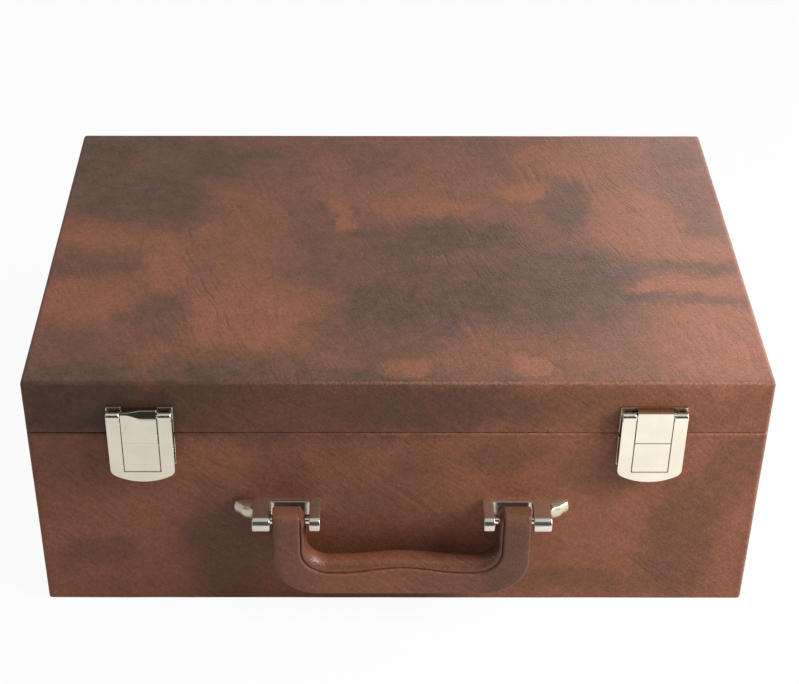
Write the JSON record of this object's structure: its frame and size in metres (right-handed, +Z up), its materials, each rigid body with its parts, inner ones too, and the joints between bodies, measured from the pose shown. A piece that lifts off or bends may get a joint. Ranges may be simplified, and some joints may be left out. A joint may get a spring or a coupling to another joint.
{
  "type": "chess piece storage box",
  "caption": "Leatherette-covered case for chess pieces with a hinged lid, snap latches, a swinging carrying handle, velvet compartments and a lift-out tray.",
  "frame": {"origin": "middle of the case's underside, which stands on the table", "axes": "+X to the right along the case's length, +Y from the front with the handle to the back with the hinges, +Z up through the lid"},
  "size_m": [0.394, 0.2926, 0.1525],
  "materials": {
    "leatherette": "fine-grained leatherette, mottled red-brown and dark grey-brown, soft sheen",
    "nickel": "polished nickel plate",
    "steel": "plain steel",
    "board": "sanded fibreboard and plywood",
    "velvet": "dark green velvet",
    "ribbon": "dark green satin ribbon"
  },
  "bodies": {
    "base": {"base_cover": "leatherette", "base_bottom_cover": "leatherette", "base_front_panel": "board", "base_back_panel": "board", "base_left_panel": "board", "base_right_panel": "board", "base_floor_panel": "board", "base_lining_front": "velvet", "base_lining_back": "velvet", "base_lining_left": "velvet", "base_lining_right": "velvet", "base_lining_floor": "velvet", "lower_divider_long": "velvet", "lower_dividers_cross": "velvet", "lower_dividers_short": "velvet", "tray_ledge_left": "velvet", "tray_ledge_right": "velvet", "latch_base_plate_left": "nickel", "latch_base_plate_right": "nickel", "latch_base_nails": "nickel", "handle_bracket_left": "nickel", "handle_bracket_right": "nickel", "handle_pins": "nickel", "handle_bracket_screws": "steel", "hinge_base_leaf_left": "nickel", "hinge_base_leaf_right": "nickel", "hinge_pins": "nickel", "hinge_base_screws": "nickel"},
    "lid": {"lid_cover": "leatherette", "lid_front_panel": "board", "lid_back_panel": "board", "lid_left_panel": "board", "lid_right_panel": "board", "lid_top_panel": "board", "lid_lining": "velvet", "lid_pad": "velvet", "hinge_lid_leaf_left": "nickel", "hinge_lid_leaf_right": "nickel", "hinge_lid_screws": "nickel", "latch_lid_plate_left": "nickel", "latch_lid_plate_right": "nickel", "latch_pins": "nickel", "latch_lid_nails": "nickel"},
    "latch_left": {"latch_lever_left": "nickel", "latch_tongue_left": "nickel"},
    "latch_right": {"latch_lever_right": "nickel", "latch_tongue_right": "nickel"},
    "handle": {"handle_grip": "leatherette", "handle_core": "steel"},
    "tray": {"tray_floor_panel": "board", "tray_side_walls": "velvet", "tray_end_walls": "velvet", "tray_lining": "velvet", "tray_divider_long": "velvet", "tray_dividers_cross": "velvet", "tray_dividers_short": "velvet", "tray_ribbons": "ribbon"}
  },
  "joints": [
    {"name": "lid_hinge", "type": "hinge", "parent": "base", "child": "lid", "pos_m": [0, 0.1365, 0.1195], "axis": [-1, 0, 0], "range_deg": [0, 105]},
    {"name": "latch_left_hinge", "type": "hinge", "parent": "lid", "child": "latch_left", "pos_m": [0, -0.13775, 0.1338], "axis": [-1, 0, 0], "range_deg": [0, 110]},
    {"name": "latch_right_hinge", "type": "hinge", "parent": "lid", "child": "latch_right", "pos_m": [0, -0.13775, 0.1338], "axis": [-1, 0, 0], "range_deg": [0, 110]},
    {"name": "handle_hinge", "type": "hinge", "parent": "base", "child": "handle", "pos_m": [0, -0.1467, 0.0698], "axis": [-1, 0, 0], "range_deg": [0, 170]},
    {"name": "tray_lift", "type": "slide", "parent": "base", "child": "tray", "axis": [0, 0, 1], "range_m": [0, 0.075]}
  ],
  "couplings": [
    {"joint": "tray_lift", "follows": "lid_hinge", "m_per_rad": 0.0409}
  ]
}
